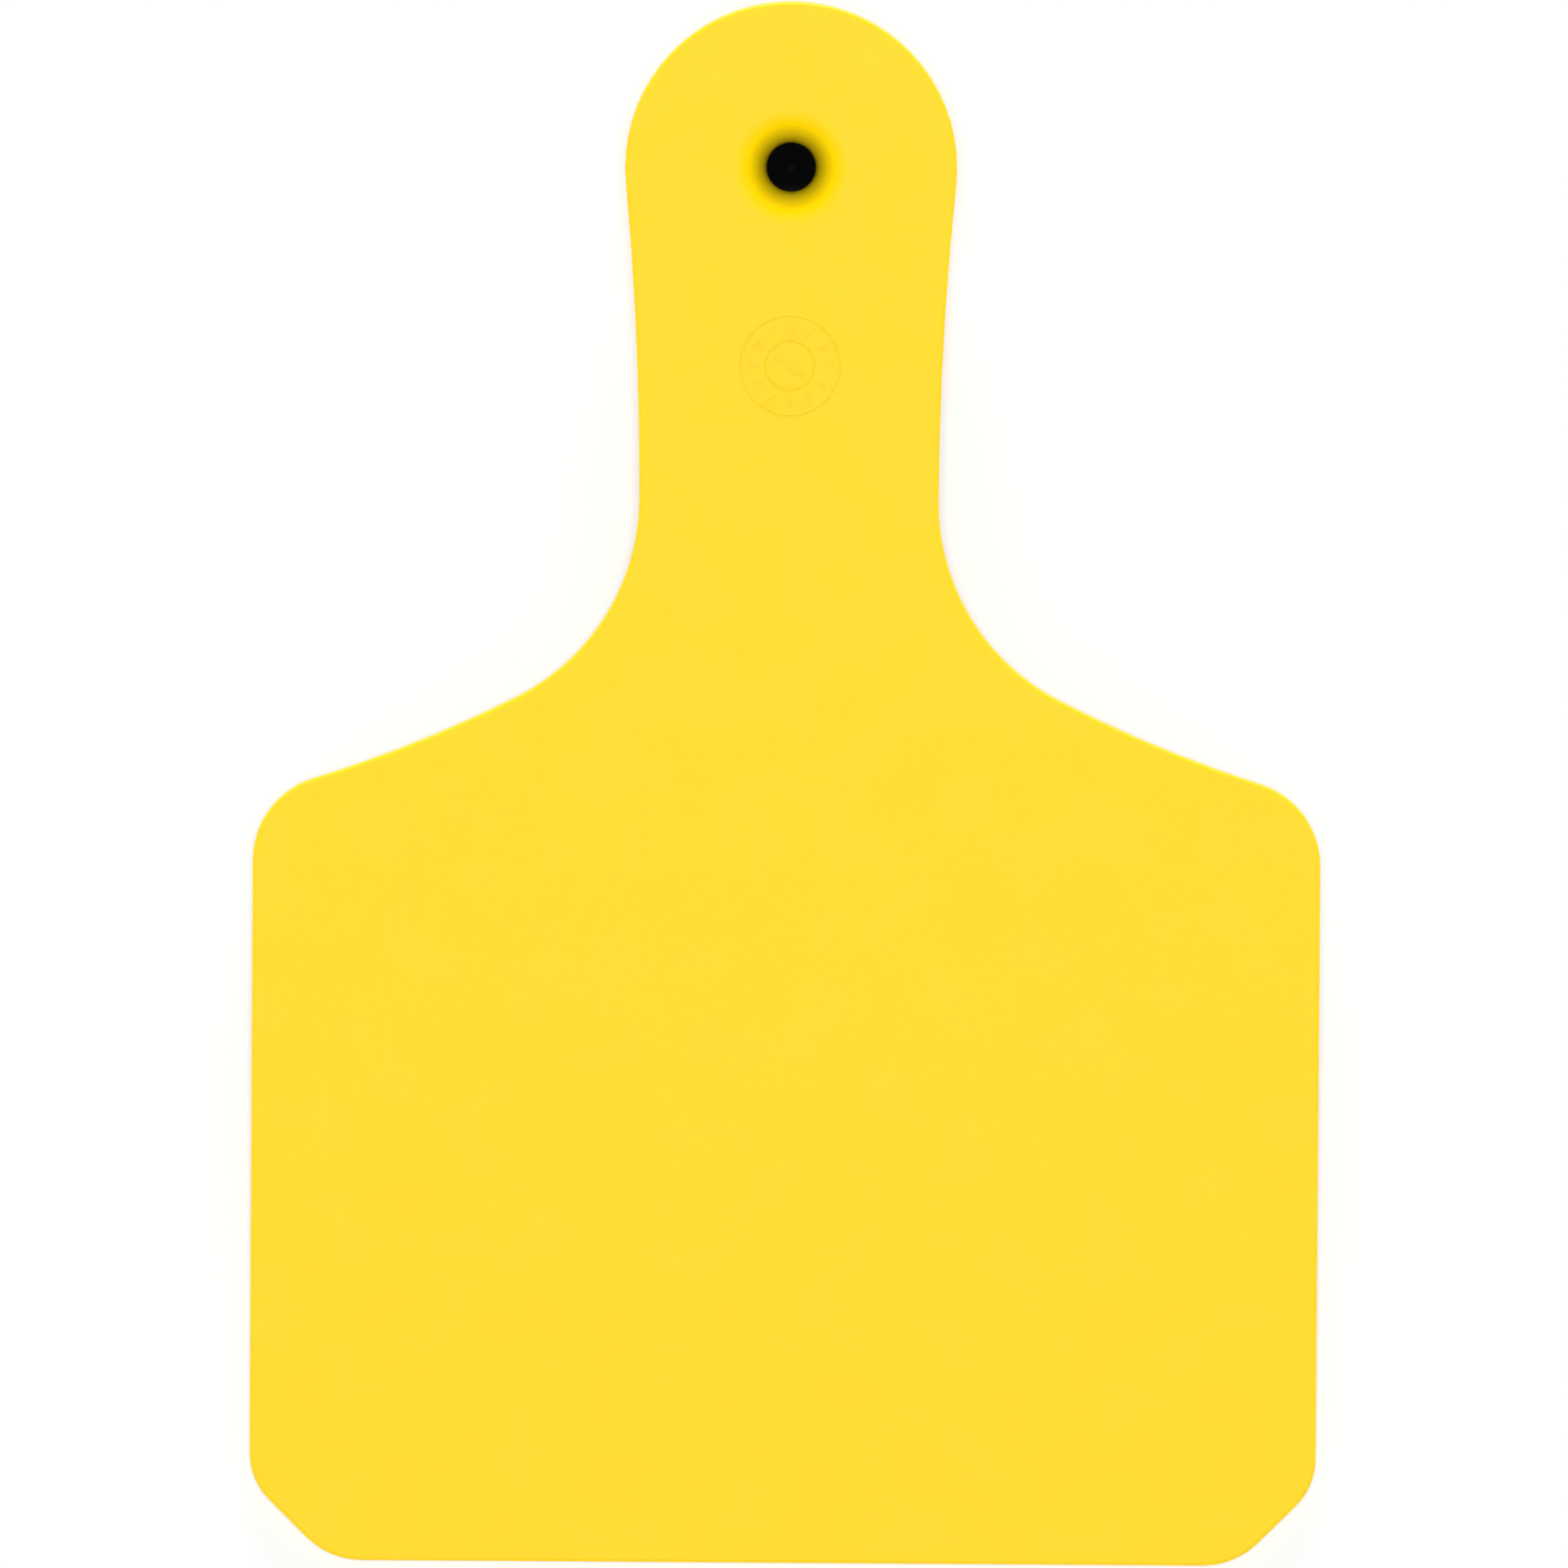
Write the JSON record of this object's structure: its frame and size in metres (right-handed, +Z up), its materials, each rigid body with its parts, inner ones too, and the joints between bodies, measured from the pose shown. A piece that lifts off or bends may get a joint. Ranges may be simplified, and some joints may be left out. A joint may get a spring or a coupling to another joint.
{
  "type": "livestock ear tag",
  "caption": "Flat soft-plastic cattle ear tag with sloped shoulders, a neck and a round head; a hard insert in the collar behind the head locks onto a stud pushed through the ear.",
  "frame": {"origin": "centre of the locking bore's mouth, on the stud's axis, inside the collar behind the head", "axes": "+Z up with the tag at rest, marking face up; +Y from the base towards the head; +X across. The tag lies on its collar's rim and its base edge, so the stud's axis leans 4.33 degrees from +Z towards the base"},
  "size_m": [0.076, 0.1111, 0.0098],
  "materials": {
    "soft_polyurethane": "satin",
    "hard_acetal": "matte"
  },
  "bodies": {
    "root": {"tag_panel": "soft_polyurethane", "locking_insert": "hard_acetal"}
  },
  "joints": []
}
